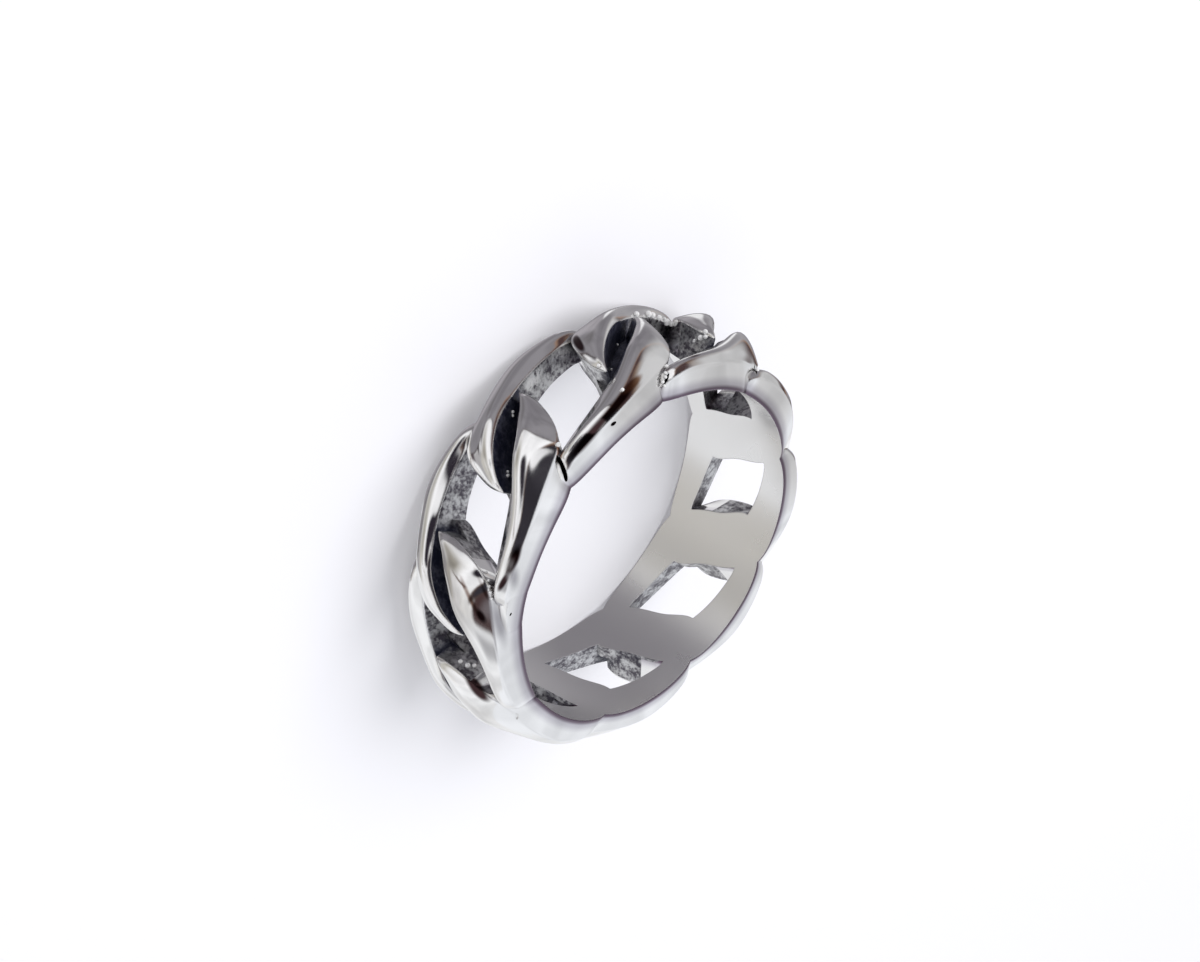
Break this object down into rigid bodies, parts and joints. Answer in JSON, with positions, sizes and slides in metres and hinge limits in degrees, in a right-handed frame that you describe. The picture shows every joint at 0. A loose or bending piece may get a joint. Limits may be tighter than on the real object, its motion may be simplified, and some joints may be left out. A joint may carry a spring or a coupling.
{
  "type": "toe ring",
  "caption": "Cast ring with a pierced curb-link band: domed links twist past one another round a plain round bore, worn on a toe or a small finger.",
  "frame": {"origin": "centre of the bore, at the middle of the band's width", "axes": "+Z along the bore, up as the ring lies on its side; +X through the middle of one link"},
  "size_m": [0.0214, 0.0216, 0.0064],
  "materials": {
    "polished_silver": "mirror polished, dark in the grooves, rough as cast in the openings"
  },
  "bodies": {
    "root": {"curb_band": "polished_silver"}
  },
  "joints": []
}
